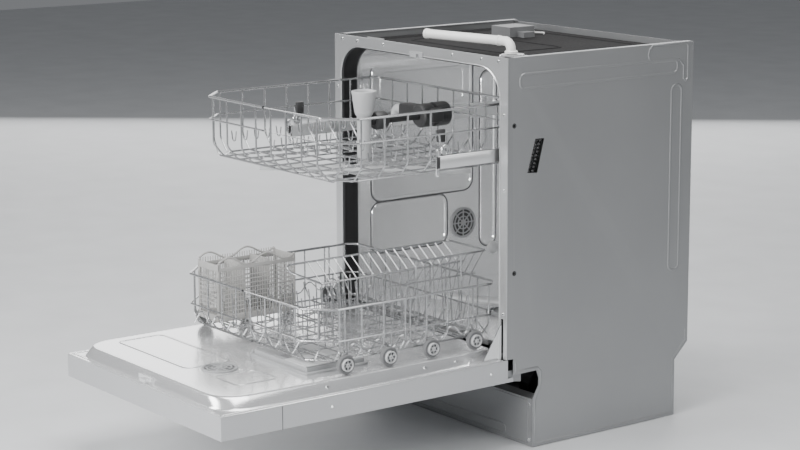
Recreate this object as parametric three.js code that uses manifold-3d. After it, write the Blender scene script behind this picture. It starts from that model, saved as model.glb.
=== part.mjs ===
// Built-in dishwasher, 60 cm class: steel cabinet, stainless tub, drop-down door, two wire racks on rails.
// Millimetres. X to the right as one faces the front, Y to the back, Z up. Every piece is drawn with
// y = 0 on the front of the cabinet, and the whole is then moved so that the origin is under its middle.
import * as THREE from 'three';
import { mergeVertices } from 'three/addons/utils/BufferGeometryUtils.js';
import Module from 'manifold-3d';

const wasm = await Module();
wasm.setup();

// ---- driving dimensions ----
const CABINET_WIDTH = 598;
const CABINET_DEPTH = 510;
const CABINET_HEIGHT = 815;
const SHEET = 1.5; // folded steel sheet
const RIDGE = 1.6; // how far the sides lie inside the front frame, so that pressed ridges clear a neighbour
const GAP = 0.4; // between pieces that touch
const FLANGE_WIDTH = 21; // front frame, beside the opening
const FRAME_TOP = 20; // front frame, above the opening
const CORNER = 68; // radius of the opening's upper corners
const FRAME_FOOT = 198; // lower end of the front posts
const PLINTH_HEIGHT = 103;
const PLINTH_SETBACK = 72;
const GASKET = 5; // thickness of the door seal
const GASKET_DEPTH = 38;
const TUB_FLOOR = 221; // level that the lower rack rolls on
const BASIN_DROP = 16;
const DOOR_FOOT = 124; // height of the shut door's lower edge
const DOOR_THICKNESS = 47;
const DOOR_TOP = 197; // upper edge of the door's sides when it lies open
const LINER_RISE = 24; // raised middle of the door's inner skin
const LINER_INSET = 28; // its distance from the door's sides
const PANEL_LENGTH = 137; // control panel at the door's outer end
const RACK_WIDTH = 510;
const LOWER_DEPTH = 454;
const LOWER_OUT = 440; // how far the lower rack stands out in front of the cabinet
const UPPER_DEPTH = 461;
const UPPER_OUT = 385;
const RACK_CUT = 52; // slanted front corners of the racks
const UPPER_RIM = 718;
const UPPER_FLOOR = 592;
const LOWER_RIM = 351;
const LOWER_FLOOR = 242;
const RIM_WIRE = 5.5;
const WIRE = 4;
const WHEEL_RADIUS = 19.5;
const WHEEL_WIDTH = 9;
const HUB_RADIUS = 13; // raised middle of a wheel
const HUB_WIDTH = 5.6;
const ROLLER_RADIUS = 11;
const RUNNING = 0.5; // play under the wheels, in the rails and round the pins
const RAIL_HEIGHT = 26;
const RAIL_LENGTH = 410;
const UPPER_ARM = 222; // spray arms, hub to tip
const LOWER_ARM = 196;
const ARM_THICKNESS = 14;
const SUMP_RADIUS = 62;
const PIN_RADIUS = 5;

// ---- sizes that follow from them ----
const HALF = CABINET_WIDTH / 2;
const OPENING_HALF = HALF - FLANGE_WIDTH;
const OPENING_TOP = CABINET_HEIGHT - FRAME_TOP;
const TUB_HALF = OPENING_HALF - GASKET - 2 * GAP - 0.2;
const TUB_TOP = OPENING_TOP - GASKET - 3 * GAP;
const TUB_FRONT = SHEET + GASKET_DEPTH + 3 * GAP;
const TUB_BACK = CABINET_DEPTH - 20;
const BASIN = TUB_FLOOR - BASIN_DROP;
const DOOR_BOTTOM = DOOR_TOP - DOOR_THICKNESS;
const CLOSED_TOP = CABINET_HEIGHT - 3;
const DOOR_LENGTH = CLOSED_TOP - DOOR_FOOT;
const DOOR_END = 6 - DOOR_LENGTH; // y of the door's outer end
const LINER_TOP = DOOR_TOP + LINER_RISE;
const LINER_SKIN = DOOR_TOP + SHEET;
// the closed door stands against the frame, with its outer end level with the cabinet's top
const HINGE_Z = (CLOSED_TOP + DOOR_END + LINER_SKIN + GAP) / 2;
const HINGE_Y = HINGE_Z - LINER_SKIN - GAP;
const RACK_HALF = RACK_WIDTH / 2;
const WHEEL_Z = TUB_FLOOR + RUNNING + WHEEL_RADIUS;
const WHEEL_X = RACK_HALF + 1.4; // inner face of the lower wheels
const WHEEL_Y = [-372, -268, -162, -52];
const RAIL_X = TUB_HALF - GAP; // outer face of the fixed rails
const RAIL_LEVEL = UPPER_FLOOR + 11; // underside of the sliding rails
const RAIL_FRONT = -151;
const SUMP_Y = 265;

// ---- drawing helpers ----
const STEEL = { color: 0xc9cbce, roughness: 0.3, metalness: 1 };
const PAINTED = { color: 0x9a9b9f, roughness: 0.5, metalness: 0.6 };
const WHITE_PLASTIC = { color: 0xe6e6e2, roughness: 0.45, metalness: 0 };
const GREY_PLASTIC = { color: 0x8b8d90, roughness: 0.5, metalness: 0 };
const BLACK_PLASTIC = { color: 0x1c1c1e, roughness: 0.5, metalness: 0 };
const RUBBER = { color: 0x111112, roughness: 0.8, metalness: 0 };
const COATED_WIRE = { color: 0xb4b6b9, roughness: 0.35, metalness: 0.7 };
const CAST_IRON = { color: 0x4a4a4c, roughness: 0.8, metalness: 0.5 };

const dishwasher = new THREE.Group();
const cabinet = new THREE.Group();
cabinet.position.y = (-DOOR_END - CABINET_DEPTH) / 2;
dishwasher.add(cabinet);

function solid(geometry) {
  const bare = geometry.index ? geometry.toNonIndexed() : geometry.clone();
  bare.deleteAttribute('normal');
  bare.deleteAttribute('uv');
  const merged = mergeVertices(bare, 1e-4);
  return new wasm.Manifold(new wasm.Mesh({
    numProp: 3,
    vertProperties: merged.attributes.position.array,
    triVerts: new Uint32Array(merged.index.array),
  }));
}

const join = (...solids) => wasm.Manifold.union(solids.flat());

function piece(name, body, finish) {
  const { vertProperties, triVerts } = body.getMesh();
  const geometry = new THREE.BufferGeometry();
  geometry.setAttribute('position', new THREE.BufferAttribute(new Float32Array(vertProperties), 3));
  geometry.setIndex(new THREE.BufferAttribute(new Uint32Array(triVerts), 1));
  geometry.computeVertexNormals();
  const mesh = new THREE.Mesh(geometry, new THREE.MeshStandardMaterial(finish));
  mesh.name = name;
  cabinet.add(mesh);
}

// the same piece on the left and the right, drawn for the right
function pair(name, body, finish) {
  piece(`${name}_right`, body, finish);
  piece(`${name}_left`, body.mirror([1, 0, 0]), finish);
}

function block([x0, x1], [y0, y1], [z0, z1]) {
  const box = new THREE.BoxGeometry(x1 - x0, y1 - y0, z1 - z0);
  return solid(box.translate((x0 + x1) / 2, (y0 + y1) / 2, (z0 + z1) / 2));
}

function outlineOf(points) {
  return new THREE.Shape(points.map(([a, b]) => new THREE.Vector2(a, b)));
}

// an outline in the plane across one axis, given thickness from one value to another along it
function slab(axis, outline, from, to) {
  const shape = outline instanceof THREE.Shape ? outline : outlineOf(outline);
  const made = new THREE.ExtrudeGeometry(shape, { depth: to - from, bevelEnabled: false, curveSegments: 8 });
  const turn = new THREE.Matrix4();
  if (axis === 'x') { // outline in Y and Z
    turn.makeBasis(new THREE.Vector3(0, 1, 0), new THREE.Vector3(0, 0, 1), new THREE.Vector3(1, 0, 0));
    return solid(made.applyMatrix4(turn).translate(from, 0, 0));
  }
  if (axis === 'y') { // outline in X and Z
    turn.makeBasis(new THREE.Vector3(1, 0, 0), new THREE.Vector3(0, 0, 1), new THREE.Vector3(0, -1, 0));
    return solid(made.applyMatrix4(turn).translate(0, to, 0));
  }
  return solid(made.translate(0, 0, from)); // outline in X and Y
}

function roundedRectangle(x0, x1, y0, y1, radius) {
  const shape = new THREE.Shape();
  shape.moveTo(x0 + radius, y0);
  shape.absarc(x1 - radius, y0 + radius, radius, -Math.PI / 2, 0, false);
  shape.absarc(x1 - radius, y1 - radius, radius, 0, Math.PI / 2, false);
  shape.absarc(x0 + radius, y1 - radius, radius, Math.PI / 2, Math.PI, false);
  shape.absarc(x0 + radius, y0 + radius, radius, Math.PI, 1.5 * Math.PI, false);
  return shape;
}

// a doorway outline: straight sides and a rounded top
function doorway(half, top, radius, bottom) {
  const shape = new THREE.Shape();
  shape.moveTo(-half, bottom);
  shape.lineTo(half, bottom);
  shape.absarc(half - radius, top - radius, radius, 0, Math.PI / 2, false);
  shape.absarc(-half + radius, top - radius, radius, Math.PI / 2, Math.PI, false);
  return shape;
}

function rod(radius, from, to, sides = 20) {
  const a = new THREE.Vector3(...from);
  const b = new THREE.Vector3(...to);
  const made = new THREE.CylinderGeometry(radius, radius, a.distanceTo(b), sides);
  const turn = new THREE.Quaternion().setFromUnitVectors(
    new THREE.Vector3(0, 1, 0), b.clone().sub(a).normalize());
  const middle = a.add(b).multiplyScalar(0.5);
  return solid(made.applyQuaternion(turn).translate(middle.x, middle.y, middle.z));
}

// a bent square wire through the given points
function wire(points, size) {
  const bars = [];
  for (let i = 1; i < points.length; i += 1) {
    const a = new THREE.Vector3(...points[i - 1]);
    const b = new THREE.Vector3(...points[i]);
    const bar = new THREE.BoxGeometry(size, size, a.distanceTo(b) + size);
    const middle = a.clone().add(b).multiplyScalar(0.5);
    const place = new THREE.Matrix4().lookAt(a, b, new THREE.Vector3(0.01, 0.02, 1).normalize());
    place.setPosition(middle);
    bars.push(solid(bar.applyMatrix4(place)));
  }
  return bars;
}

function loop(outline, z, size) {
  return wire([...outline, outline[0], outline[1]].map(([x, y]) => [x, y, z]), size);
}

function spread(from, to, count) {
  return Array.from({ length: count }, (_, i) => from + ((to - from) * i) / (count - 1));
}

// ---- cabinet ----
const sideOutline = [
  [SHEET + GAP, CABINET_HEIGHT], [SHEET + GAP, FRAME_FOOT], [20, FRAME_FOOT - 1], [20, 163], [82, 164],
  [88, 147], [88, 132], [PLINTH_SETBACK, PLINTH_HEIGHT], [PLINTH_SETBACK, 1], [CABINET_DEPTH - 36, 1],
  [CABINET_DEPTH - 37, 125], [CABINET_DEPTH, 161], [CABINET_DEPTH, CABINET_HEIGHT],
];
const sideFace = HALF - RIDGE;
const tapeSlot = slab('x', [[54, 579], [80, 577], [98, 646], [74, 647]], HALF - 5, HALF + 5);
pair('side_panel', join(
  slab('x', sideOutline, sideFace - SHEET, sideFace),
  block([sideFace - 15, sideFace], [20, CABINET_DEPTH - 4], [CABINET_HEIGHT - SHEET, CABINET_HEIGHT]),
).subtract(join(
  tapeSlot,
  rod(3, [HALF - 5, 19, 678], [HALF + 5, 19, 678], 12),
  rod(3, [HALF - 5, 21, 376], [HALF + 5, 21, 376], 12),
)), PAINTED);

const hingeSlot = block([281.5, 288.5], [-1, SHEET + 1], [FRAME_FOOT - 1, 282]);
piece('front_frame', block([-HALF, HALF], [0, SHEET], [FRAME_FOOT, CABINET_HEIGHT]).subtract(join(
  slab('y', doorway(OPENING_HALF, OPENING_TOP, CORNER, FRAME_FOOT - 1), -1, SHEET + 1),
  hingeSlot,
  hingeSlot.mirror([1, 0, 0]),
)), STEEL);

function archBand(half, top, thickness, bottom, from, to) {
  return slab('y', doorway(half, top, CORNER, bottom), from, to).subtract(
    slab('y', doorway(half - thickness, top - thickness, CORNER - thickness, bottom - 1), from - 1, to + 1));
}
piece('door_gasket', archBand(OPENING_HALF - GAP, OPENING_TOP - GAP, GASKET, FRAME_FOOT + 10,
  SHEET + GAP, SHEET + GAP + GASKET_DEPTH), RUBBER);
piece('tub_wrap', archBand(TUB_HALF + SHEET, TUB_TOP + SHEET, SHEET, TUB_FLOOR - 10,
  TUB_FRONT, TUB_BACK - GAP), STEEL);
piece('tub_back', slab('y', doorway(TUB_HALF + SHEET, TUB_TOP + SHEET, CORNER, TUB_FLOOR - 10),
  TUB_BACK, TUB_BACK + SHEET), STEEL);

const floorEdge = TUB_HALF - GAP;
const floorPlate = block([-floorEdge, floorEdge], [26, TUB_BACK - GAP], [BASIN - SHEET, TUB_FLOOR]);
piece('tub_floor', floorPlate.subtract(join(
  slab('z', roundedRectangle(-205, 205, 44, TUB_BACK - 20, 40), BASIN, TUB_FLOOR + 1),
  block([-floorEdge - 1, -205 - 2 * SHEET], [20, TUB_BACK + 1], [BASIN - 5, TUB_FLOOR - SHEET]),
  block([205 + 2 * SHEET, floorEdge + 1], [20, TUB_BACK + 1], [BASIN - 5, TUB_FLOOR - SHEET]),
  rod(SUMP_RADIUS - 2, [0, SUMP_Y, BASIN - 5], [0, SUMP_Y, BASIN + 5], 32),
)), STEEL);

piece('top_sheet', block([-HALF + 18, HALF - 18], [24, TUB_BACK], [CABINET_HEIGHT - 18, CABINET_HEIGHT - 15]),
  BLACK_PLASTIC);
piece('back_panel', block([-sideFace + SHEET + GAP, sideFace - SHEET - GAP],
  [CABINET_DEPTH - SHEET - 2, CABINET_DEPTH - 2], [170, CABINET_HEIGHT - 4]), PAINTED);

// steam duct on the roof, with its foot plate, and the small fittings beside it
const roof = CABINET_HEIGHT - 15 + GAP;
const ductLevel = CABINET_HEIGHT + 16;
const ductPath = new THREE.CurvePath();
const ductStart = new THREE.Vector3(-60, 70, ductLevel);
const ductBend = new THREE.Vector3(160, 109, ductLevel);
const ductElbow = new THREE.Vector3(177, 112, ductLevel);
const ductFoot = new THREE.Vector3(178, 113, roof + 5 + GAP);
ductPath.add(new THREE.LineCurve3(ductStart, ductBend));
ductPath.add(new THREE.QuadraticBezierCurve3(ductBend, ductElbow, ductFoot));
const ductRing = new THREE.Shape();
ductRing.absarc(0, 0, 10, 0, 2 * Math.PI, false);
piece('steam_duct', solid(new THREE.ExtrudeGeometry(ductRing, {
  extrudePath: ductPath, steps: 24, curveSegments: 8, bevelEnabled: false,
})), WHITE_PLASTIC);
piece('duct_foot_plate', join(
  rod(24, [178, 113, roof], [178, 113, roof + 4], 24),
  ...[0, 1, 2].map((i) => {
    const turn = (i * 2 * Math.PI) / 3 + 0.5;
    return rod(8, [178 + 26 * Math.cos(turn), 113 + 26 * Math.sin(turn), roof],
      [178 + 26 * Math.cos(turn), 113 + 26 * Math.sin(turn), roof + 2.5], 12);
  }),
), GREY_PLASTIC);
piece('worktop_bracket', join(
  block([-185, -125], [6, 60], [roof, roof + SHEET]),
  block([-185, -125], [6, 6 + SHEET], [roof, CABINET_HEIGHT + 2]),
), STEEL);
piece('roof_valve_box', join(
  block([-160, -95], [330, 400], [roof, roof + 22]),
  block([-96, -70], [350, 380], [roof, roof + 12]),
), GREY_PLASTIC);
piece('latch_striker', join(
  block([-22, 22], [-3, -GAP], [OPENING_TOP - 5, OPENING_TOP + 7]),
  block([-8, 8], [-9, -GAP], [OPENING_TOP - 4, OPENING_TOP + 3]),
), GREY_PLASTIC);

// ---- base ----
const tray = [[-HALF + 29, HALF - 29], [78, 460], [0, 98]];
piece('base_tray', block(...tray).subtract(block([-HALF + 32, HALF - 32], [81, 457], [3, 99])),
  BLACK_PLASTIC);
const plinthX = [-sideFace + SHEET + GAP, sideFace - SHEET - GAP];
piece('plinth_plate', join(
  block(plinthX, [PLINTH_SETBACK, PLINTH_SETBACK + SHEET], [1, PLINTH_HEIGHT]),
  block(plinthX, [PLINTH_SETBACK, PLINTH_SETBACK + 34], [PLINTH_HEIGHT - SHEET, PLINTH_HEIGHT]),
), PAINTED);
piece('counterweight', block([-200, 200], [395, 455], [3 + GAP, 62]), CAST_IRON);
piece('circulation_pump', join(
  rod(42, [85, SUMP_Y, 60], [190, SUMP_Y, 60], 24),
  rod(52, [86, SUMP_Y, 60], [116, SUMP_Y, 60], 24),
), BLACK_PLASTIC);
function cup(radius, wall, floor, top, sides) {
  return rod(radius, [0, SUMP_Y, floor], [0, SUMP_Y, top], sides)
    .subtract(rod(radius - wall, [0, SUMP_Y, floor + wall], [0, SUMP_Y, top + 1], sides));
}
const STAND_RADIUS = 14; // water stand in the middle of the sump, under the lower arm
piece('sump', join(
  cup(SUMP_RADIUS + 4, 4, 118, BASIN - SHEET - GAP, 32),
  rod(STAND_RADIUS, [0, SUMP_Y, 120], [0, SUMP_Y, BASIN + 12 - GAP], 20),
), GREY_PLASTIC);
piece('filter', cup(46, 2, 126, BASIN + 4, 24).subtract(
  rod(STAND_RADIUS + 2, [0, SUMP_Y, 120], [0, SUMP_Y, BASIN + 9], 20)), GREY_PLASTIC);
function foot(x, y) {
  return join(rod(7, [x, y, 2], [x, y, 60], 12), rod(12.4, [x, y, 0], [x, y, 6], 16));
}
pair('foot_front', foot(HALF - 16, 92), BLACK_PLASTIC);
piece('foot_rear', foot(0, CABINET_DEPTH - 34), BLACK_PLASTIC);

// ---- spray arms ----
// a two-ended arm round a hub, turned about its upright spindle by the given number of degrees
function sprayArm(half, turn, y, z, hub) {
  const blade = [[-half, -11], [-30, -22], [30, -22], [half, -11],
    [half, 11], [30, 22], [-30, 22], [-half, 11]];
  const hubBody = rod(30, [0, 0, z - hub], [0, 0, z + ARM_THICKNESS + 0.1], 20);
  return join(slab('z', blade, z, z + ARM_THICKNESS), hubBody).rotate([0, 0, turn]).translate([0, y, 0]);
}
piece('lower_spray_arm', sprayArm(LOWER_ARM, 30, SUMP_Y, BASIN + 14, 2), GREY_PLASTIC);

// ---- door ----
const doorHalf = sideFace;
const seam = DOOR_END + PANEL_LENGTH;
const hingeNotch = block([HALF - 11, HALF + 1], [HINGE_Y - 46, 30],
  [DOOR_BOTTOM - 1, DOOR_BOTTOM + SHEET + 1]);
const outerSides = [[seam + GAP, DOOR_BOTTOM], [20, DOOR_BOTTOM], [20, DOOR_BOTTOM + 8], [6, DOOR_BOTTOM + 8],
  [6, DOOR_TOP - GAP], [seam + GAP, DOOR_TOP - GAP]];
piece('door_outer_panel', join(
  block([-doorHalf, doorHalf], [seam + GAP, 6], [DOOR_BOTTOM, DOOR_BOTTOM + SHEET])
    .subtract(join(hingeNotch, hingeNotch.mirror([1, 0, 0]))),
  slab('x', outerSides, doorHalf - SHEET, doorHalf),
  slab('x', outerSides, -doorHalf, -doorHalf + SHEET),
), PAINTED);
piece('control_panel', block([-doorHalf, doorHalf], [DOOR_END, seam], [DOOR_BOTTOM, DOOR_TOP - GAP])
  .subtract(block([-doorHalf + 2, doorHalf - 2], [DOOR_END + 2, seam + 1],
    [DOOR_BOTTOM + 2, DOOR_TOP])), PAINTED);

const linerX = HALF - LINER_INSET - 1;
const linerFront = DOOR_END + 21;
const armCut = block([HALF - 18, HALF + 1], [HINGE_Y - 30, 10], [DOOR_TOP - 5, LINER_SKIN + 1]);
const plateau = (inset, from, to) => slab('z',
  roundedRectangle(-linerX + inset, linerX - inset, linerFront + inset, -14 - inset, 58 - inset), from, to);
piece('door_liner', join(
  block([-doorHalf, doorHalf], [DOOR_END + GAP, -5], [DOOR_TOP, LINER_SKIN])
    .subtract(join(armCut, armCut.mirror([1, 0, 0]))),
  plateau(0, DOOR_TOP, LINER_TOP - RUNNING),
).subtract(plateau(SHEET, DOOR_TOP - 1, LINER_TOP - RUNNING - SHEET)), STEEL);

const armOutline = [[HINGE_Y - 22, DOOR_BOTTOM + 4], [HINGE_Y + 14, DOOR_BOTTOM + 4], [-3, HINGE_Z + 10],
  [-3, 272], [HINGE_Y - 14, LINER_SKIN + 2], [HINGE_Y - 22, LINER_SKIN - 4]];
pair('hinge_arm', slab('x', armOutline, HALF - 15.5, HALF - 12.5).subtract(
  rod(PIN_RADIUS + RUNNING, [HALF - 19, HINGE_Y, HINGE_Z], [HALF - 9, HINGE_Y, HINGE_Z], 24)), STEEL);
const bracketOutline = [[HINGE_Y - 9, HINGE_Z - 9], [HINGE_Y + 9, HINGE_Z - 9], [44, 146], [44, 172],
  [HINGE_Y - 9, HINGE_Z + 9]];
pair('hinge_bracket', join(
  slab('x', bracketOutline, HALF - 9, HALF - 6),
  rod(PIN_RADIUS, [HALF - 16.5, HINGE_Y, HINGE_Z], [HALF - 8, HINGE_Y, HINGE_Z], 24),
), STEEL);

const linerFace = LINER_TOP - RUNNING + GAP;
// the dispenser lies between the tracks of the lower wheels
const dispenser = { x: [WHEEL_X - 228.4, WHEEL_X - 41.4], y: [-432, -296], top: linerFace + 13 };
const capX = dispenser.x[0] + 50;
piece('dispenser_body', block(dispenser.x, dispenser.y, [linerFace, dispenser.top]).subtract(join(
  block([dispenser.x[1] - 70, dispenser.x[1] - 9], [-424, -352], [dispenser.top - 9, dispenser.top + 1]),
  rod(19, [capX, -376, dispenser.top - 6], [capX, -376, dispenser.top + 1], 24),
)), GREY_PLASTIC);
piece('dispenser_lid', block([dispenser.x[1] - 76, dispenser.x[1] - 2], [-434, -346],
  [dispenser.top + GAP, dispenser.top + GAP + 3]), GREY_PLASTIC);
piece('rinse_aid_cap', join(
  rod(19 - RUNNING, [capX, -376, dispenser.top - 6 + GAP], [capX, -376, dispenser.top - GAP], 24),
  block([capX - 12, capX + 12], [-378, -374], [dispenser.top - 2, dispenser.top + 2]),
), GREY_PLASTIC);
piece('door_vent_cap', rod(36, [70, -542, linerFace], [70, -542, linerFace + 3], 32), GREY_PLASTIC);
piece('door_latch', join(
  block([-24, 24], [linerFront - 10, linerFront - GAP], [LINER_SKIN + GAP, LINER_SKIN + 14]),
  block([-10, 10], [linerFront - 16, linerFront - 9], [LINER_SKIN + GAP, LINER_SKIN + 8]),
), STEEL);

// ---- racks ----
// wires that run down one side, along the floor and up the other side, at each of the given places
function hangers(places, point, half, rim, floor, bend, inset) {
  return places.flatMap((at) => wire([
    point(at, half[0], rim), point(at, half[0], floor + bend), point(at, half[0] + inset, floor),
    point(at, half[1] - inset, floor), point(at, half[1], floor + bend), point(at, half[1], rim),
  ], WIRE));
}
const across = (y, x, z) => [x, y, z];
const along = (x, y, z) => [x, y, z];

const lowerBack = LOWER_DEPTH - LOWER_OUT;
function rackOutline(front, back, corner) {
  const right = [[RACK_HALF - RACK_CUT, front], [RACK_HALF, front + RACK_CUT], [RACK_HALF, back - corner],
    [RACK_HALF - corner, back]];
  return [...right, ...right.map(([x, y]) => [-x, y]).reverse()];
}
const lowerOutline = rackOutline(-LOWER_OUT, lowerBack, 18);
const lowerBend = WHEEL_Z + WHEEL_RADIUS + 4.5 - LOWER_FLOOR; // the wires turn inward above the wheels
const axles = WHEEL_Y.flatMap((y) => [-1, 1].flatMap((side) => [
  ...wire([[side * (RACK_HALF - 21), y, LOWER_FLOOR], [side * (RACK_HALF - 21), y, WHEEL_Z - 2]], WIRE + 2),
  rod(3.5, [side * (RACK_HALF - 23), y, WHEEL_Z], [side * (WHEEL_X - GAP), y, WHEEL_Z], 10),
]));
piece('lower_rack', join(
  loop(lowerOutline, LOWER_RIM, RIM_WIRE),
  loop(lowerOutline, LOWER_RIM - 63, WIRE),
  hangers(WHEEL_Y, across, [-RACK_HALF, RACK_HALF], LOWER_RIM, LOWER_FLOOR, lowerBend, 20),
  hangers(spread(-RACK_HALF + 55, RACK_HALF - 75, 4), along, [-LOWER_OUT, lowerBack], LOWER_RIM, LOWER_FLOOR,
    lowerBend, 20),
  axles,
), COATED_WIRE);

const wheelNames = ['front', 'mid_front', 'mid_back', 'back'];
WHEEL_Y.forEach((y, i) => {
  const tread = rod(WHEEL_RADIUS, [WHEEL_X, y, WHEEL_Z], [WHEEL_X + WHEEL_WIDTH, y, WHEEL_Z], 24);
  const hub = rod(HUB_RADIUS, [WHEEL_X, y, WHEEL_Z], [WHEEL_X + WHEEL_WIDTH + HUB_WIDTH, y, WHEEL_Z], 16);
  pair(`lower_wheel_${wheelNames[i]}`, join(tread, hub), GREY_PLASTIC);
});

// a sloping ladder of wires that holds plates or cups on edge, over the right half of the lower rack
const shelfTop = LOWER_RIM + 64;
const shelfFront = -LOWER_OUT + 14;
const shelfBack = lowerBack - 8;
const shelfLow = shelfTop - 36;
const shelfPost = shelfTop - 54;
const rungs = spread(shelfFront + 30, shelfBack - 12, 5);
const [shelfLeft, shelfStep, shelfRoot, shelfSeat, shelfRight] = [155, 106, 95, 65, 26].map((d) => RACK_HALF - d);
piece('cup_shelf', join(
  wire([[shelfLeft, shelfFront, shelfTop], [shelfLeft, shelfBack, shelfTop],
    [shelfRight, shelfBack, shelfTop]], WIRE),
  wire([[shelfLeft, shelfFront, shelfTop], [shelfStep, shelfFront + 30, shelfLow],
    [shelfStep, shelfBack, shelfLow]], WIRE),
  wire([[shelfRight, shelfFront + 250, shelfTop], [shelfRight, shelfBack, shelfTop]], WIRE),
  wire([[shelfSeat, shelfFront + 250, shelfPost], [shelfSeat, shelfBack, shelfPost]], WIRE),
  rungs.flatMap((y) => wire([[shelfLeft, y, shelfTop], [shelfStep, y, shelfLow],
    [shelfRoot, y, LOWER_FLOOR + 7]], WIRE)),
  rungs.filter((y) => y > shelfFront + 255).flatMap((y) => wire(
    [[shelfRight, y, shelfTop], [shelfSeat, y, shelfPost], [shelfRoot, y, LOWER_FLOOR + 7]], WIRE)),
), COATED_WIRE);

const basket = {
  x: [-RACK_HALF + 27, -RACK_HALF + 107],
  y: [-406, -213],
  z: [LOWER_FLOOR + WIRE + 4, LOWER_RIM + 37],
};
const cell = (basket.y[1] - basket.y[0] - 2.5) / 3;
piece('cutlery_basket', block(basket.x, basket.y, basket.z).subtract(join(
  ...[0, 1, 2].map((i) => block([basket.x[0] + 2.5, basket.x[1] - 2.5],
    [basket.y[0] + 2.5 + i * cell, basket.y[0] + (i + 1) * cell], [basket.z[0] + 2.5, basket.z[1] + 1])),
)), GREY_PLASTIC);

const upperBack = UPPER_DEPTH - UPPER_OUT;
const upperOutline = rackOutline(-UPPER_OUT, upperBack, 18);
const UPPER_HUB = 248; // spindle of the upper arm, back from the front of its rack
const upperHub = UPPER_HUB - UPPER_OUT;
const rollerPlaces = [-129, 60];
const rollerZ = RAIL_LEVEL + RAIL_HEIGHT + RUNNING + ROLLER_RADIUS;
const slideX = RAIL_X - 6 - GAP; // outer face of the sliding rails
const rollerPins = rollerPlaces.flatMap((y) => [-1, 1].flatMap((side) => [
  ...wire([[side * RACK_HALF, y, rollerZ - 8], [side * RACK_HALF, y, UPPER_RIM]], WIRE),
  rod(3, [side * (RACK_HALF - 6), y, rollerZ], [side * (slideX - 7), y, rollerZ], 10),
]));
piece('upper_rack', join(
  loop(upperOutline, UPPER_RIM, RIM_WIRE),
  loop(upperOutline, UPPER_RIM - 47, WIRE),
  hangers([-300, -190, -70, 20], across, [-RACK_HALF, RACK_HALF], UPPER_RIM, UPPER_FLOOR, 34, 30),
  hangers(spread(-RACK_HALF + 85, RACK_HALF - 85, 4), along, [-UPPER_OUT, upperBack],
    UPPER_RIM, UPPER_FLOOR, 34, 30),
  rollerPins,
), COATED_WIRE);

rollerPlaces.forEach((y, i) => {
  pair(`upper_roller_${['front', 'back'][i]}`,
    rod(ROLLER_RADIUS, [slideX - 6.6, y, rollerZ], [slideX, y, rollerZ], 20), BLACK_PLASTIC);
});
pair('rail_fixed', block([RAIL_X - 6, RAIL_X], [TUB_FRONT + 2, TUB_BACK - 20],
  [RAIL_LEVEL - 3, RAIL_LEVEL + RAIL_HEIGHT + 3]), STEEL);
pair('rail_slide', block([slideX - 6, slideX], [RAIL_FRONT, RAIL_FRONT + RAIL_LENGTH],
  [RAIL_LEVEL, RAIL_LEVEL + RAIL_HEIGHT]), STEEL);

// the tower stands over the upper arm's spindle, and a pipe feeds it from a coupling at the rack's back
const armTop = UPPER_FLOOR - 16 - GAP;
const pipeLevel = UPPER_FLOOR + 74;
const TOWER = 15;
const COUPLING = 26;
piece('upper_feed_pipe', join(
  rod(8, [0, upperHub + TOWER + 2 * GAP, pipeLevel], [0, upperBack - 6, pipeLevel], 12),
  rod(COUPLING, [0, upperBack - 34, pipeLevel], [0, upperBack - 3, pipeLevel], 20),
), BLACK_PLASTIC);
piece('upper_spray_arm', sprayArm(UPPER_ARM, 46, upperHub, armTop - ARM_THICKNESS - 0.1, 4), GREY_PLASTIC);
const towerProfile = [[0, 0], [13, 0], [13, 14], [TOWER, 18], [TOWER, 102], [19, 106], [26, 152],
  [26, 155], [22, 155], [14, 114], [0, 114]];
const tower = new THREE.LatheGeometry(towerProfile.map(([r, z]) => new THREE.Vector2(r, z)), 20);
piece('spray_tower', solid(tower.rotateX(Math.PI / 2).translate(0, upperHub, armTop + GAP)), GREY_PLASTIC);

// slotted round vent in the tub's left wall
piece('wall_vent', rod(36, [-TUB_HALF + GAP, 337, 356], [-TUB_HALF + GAP + 4, 337, 356], 32), GREY_PLASTIC);

export default dishwasher;
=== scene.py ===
import math

import bmesh
import bpy
from mathutils import Matrix, Vector


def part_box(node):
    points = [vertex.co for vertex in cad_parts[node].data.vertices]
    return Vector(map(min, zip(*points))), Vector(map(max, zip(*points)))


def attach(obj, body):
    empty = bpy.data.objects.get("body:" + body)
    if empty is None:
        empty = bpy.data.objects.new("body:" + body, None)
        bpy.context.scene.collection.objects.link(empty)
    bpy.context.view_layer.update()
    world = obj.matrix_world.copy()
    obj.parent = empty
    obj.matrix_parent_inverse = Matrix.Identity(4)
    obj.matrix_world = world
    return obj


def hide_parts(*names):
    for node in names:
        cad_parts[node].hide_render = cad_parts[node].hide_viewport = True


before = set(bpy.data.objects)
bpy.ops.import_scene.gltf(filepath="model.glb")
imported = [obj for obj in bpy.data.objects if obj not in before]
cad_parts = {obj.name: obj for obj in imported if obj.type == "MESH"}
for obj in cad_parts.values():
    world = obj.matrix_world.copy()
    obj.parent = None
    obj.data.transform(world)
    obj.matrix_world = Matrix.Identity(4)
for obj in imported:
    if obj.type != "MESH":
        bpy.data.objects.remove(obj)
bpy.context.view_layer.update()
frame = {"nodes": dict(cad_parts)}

MM = 0.001
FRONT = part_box("front_frame")[0].y  # the plane that the door shuts against
OPENING_HALF, OPENING_TOP, OPENING_CORNER = 277.4, 794.6, 67  # radius of its upper corners
RACK_HALF = 255  # half the width of both racks
RACK_CUT = 52  # slanted front corners of both racks
AXLES = (-372, -268, -162, -52)  # of the lower wheels, from the cabinet's front


def at(x, y, z):
    """A place in millimetres, with y counted from the front of the cabinet."""
    return Vector((x * MM, FRONT + y * MM, z * MM))


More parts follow.
